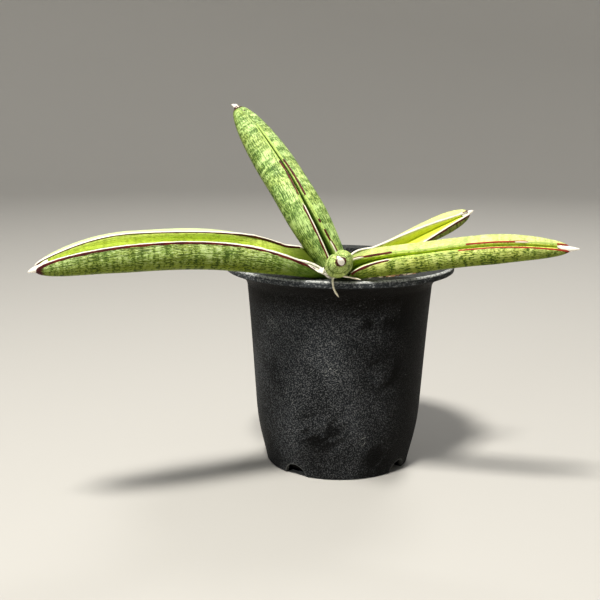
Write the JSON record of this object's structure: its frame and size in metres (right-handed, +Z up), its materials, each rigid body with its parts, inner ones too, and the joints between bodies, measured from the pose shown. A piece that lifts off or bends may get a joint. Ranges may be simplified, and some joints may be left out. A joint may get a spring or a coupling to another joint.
{
  "type": "potted sansevieria eilensis",
  "caption": "Small succulent whose thick channelled leaves with white horny edges and tips fan from a low crown over the front rim of a tapered black plastic nursery pot.",
  "frame": {"origin": "middle of the pot's flat underside, on the surface that it stands on", "axes": "+Z up the pot, +X along the widest spread of the leaves, with the leaf that points forward over the rim towards -Y"},
  "size_m": [0.1843, 0.1217, 0.1419],
  "materials": {
    "pot_plastic": "matte charcoal black with a fine grain",
    "leaf_flesh": "satin, mottled green with darker cross bands",
    "horny_margin": "dry white horn with a maroon line beside it",
    "root": "matte, pale orange brown",
    "mix": "rough mineral grains and bark",
    "dry_fibre": "dry, pale straw"
  },
  "bodies": {
    "root": {"pot": "pot_plastic", "leaf_standing": "leaf_flesh", "leaf_short": "leaf_flesh", "leaf_forward": "leaf_flesh", "leaf_left": "leaf_flesh", "leaf_right": "leaf_flesh", "margin_standing": "horny_margin", "margin_short": "horny_margin", "margin_forward": "horny_margin", "margin_left": "horny_margin", "margin_right": "horny_margin", "rhizome_with_roots": "root", "potting_mix": "mix", "dry_root_hanging": "dry_fibre", "dry_root_lying": "dry_fibre"}
  },
  "joints": []
}
